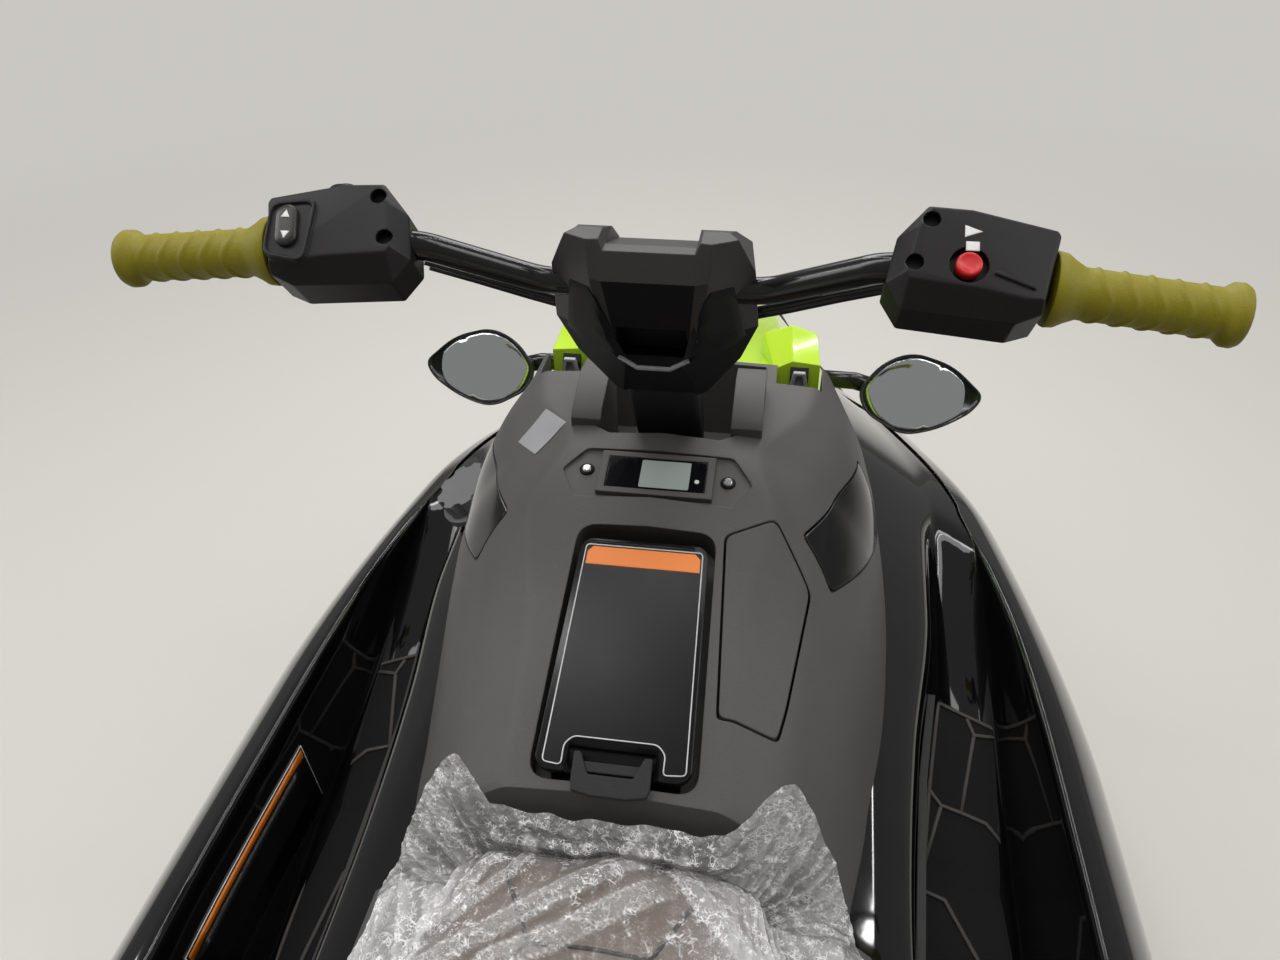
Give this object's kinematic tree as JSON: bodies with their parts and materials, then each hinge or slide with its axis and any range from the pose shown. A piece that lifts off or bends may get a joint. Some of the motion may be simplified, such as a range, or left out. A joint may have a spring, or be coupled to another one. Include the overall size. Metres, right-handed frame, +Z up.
{
  "type": "personal watercraft",
  "caption": "Three-seat personal watercraft with bars on a tilted column, opening hood and glovebox lid, and a water-jet drive with steering nozzle and reverse bucket.",
  "frame": {"origin": "on the centre plane, amidships, at the level of the water it floats in", "axes": "+X to starboard, +Y to the bow, +Z up"},
  "size_m": [1.132, 3.117, 1.2461],
  "materials": {
    "gloss_black": "gloss",
    "bumper_rubber": "satin",
    "mould_grey": "fine grain",
    "mould_black": "fine grain",
    "mat_foam": "matte",
    "smoked_gloss": "gloss",
    "lime_gloss": "gloss",
    "lime_grip": "matte",
    "seat_vinyl": "satin",
    "bar_steel": "gloss",
    "cap_grey": "satin",
    "button_red": "gloss",
    "mirror": "polished",
    "screen": "gloss",
    "pump_alloy": "cast",
    "steel": "brushed"
  },
  "bodies": {
    "craft": {"hull": "gloss_black", "deck": "gloss_black", "gunwales": "gloss_black", "bumper": "bumper_rubber", "sponsons": "mould_black", "stern_eyes": "steel", "tow_eye": "steel", "bow_eye": "steel", "bow_bin": "mould_black", "footwell_mats": "mat_foam", "rear_mat": "mat_foam", "knee_panels": "mould_grey", "fuel_cap": "cap_grey", "cowl": "mould_grey", "access_panel": "mould_grey", "smoked_panels": "smoked_gloss", "glove_bin": "mould_black", "display": "mould_grey", "display_glass": "screen", "seat_base": "mould_grey", "seat_front": "seat_vinyl", "seat_rear": "seat_vinyl", "grab_handle": "mould_black", "hood_hinge": "steel", "ride_plate": "mould_black", "intake_grate": "steel", "pump_housing": "pump_alloy"},
    "glovebox_lid": {"glove_lid": "smoked_gloss", "lid_latch": "mould_black"},
    "hood": {"hood": "lime_gloss", "hood_latches": "mould_black", "mirror_housings": "smoked_gloss", "mirror_glasses": "mirror"},
    "bars": {"handlebar": "bar_steel", "bar_pad": "mould_black", "steering_neck": "mould_black", "grips": "lime_grip", "switch_housing_starboard": "mould_black", "switch_housing_port": "mould_black", "stop_button": "button_red", "trim_rocker": "mould_black", "control_cables": "bar_steel", "throttle_lever": "mould_black", "brake_lever": "mould_black"},
    "nozzle": {"steering_nozzle": "pump_alloy"},
    "bucket": {"reverse_bucket": "pump_alloy"},
    "impeller": {"impeller": "steel"}
  },
  "joints": [
    {"name": "steering", "type": "hinge", "parent": "craft", "child": "bars", "pos_m": [0, 0.4, 0.73], "axis": [0, -0.5, 0.866], "range_deg": [-25, 25]},
    {"name": "nozzle_steer", "type": "hinge", "parent": "craft", "child": "nozzle", "pos_m": [0, -1.368, -0.075], "axis": [0, 0, 1], "range_deg": [-22, 22]},
    {"name": "bucket_tilt", "type": "hinge", "parent": "craft", "child": "bucket", "pos_m": [0, -1.368, -0.075], "axis": [1, 0, 0], "range_deg": [0, 75]},
    {"name": "impeller_spin", "type": "hinge", "parent": "craft", "child": "impeller", "pos_m": [0, -1.15, -0.075], "axis": [0, 1, 0], "continuous": true},
    {"name": "hood_hinge", "type": "hinge", "parent": "craft", "child": "hood", "pos_m": [0, 1.336, 0.31], "axis": [-1, 0, 0], "range_deg": [0, 50]},
    {"name": "glovebox_hinge", "type": "hinge", "parent": "craft", "child": "glovebox_lid", "pos_m": [0, 0.2075, 0.722], "axis": [-1, 0, 0], "range_deg": [0, 75]}
  ],
  "couplings": [
    {"joint": "nozzle_steer", "follows": "steering", "ratio": -0.85}
  ]
}
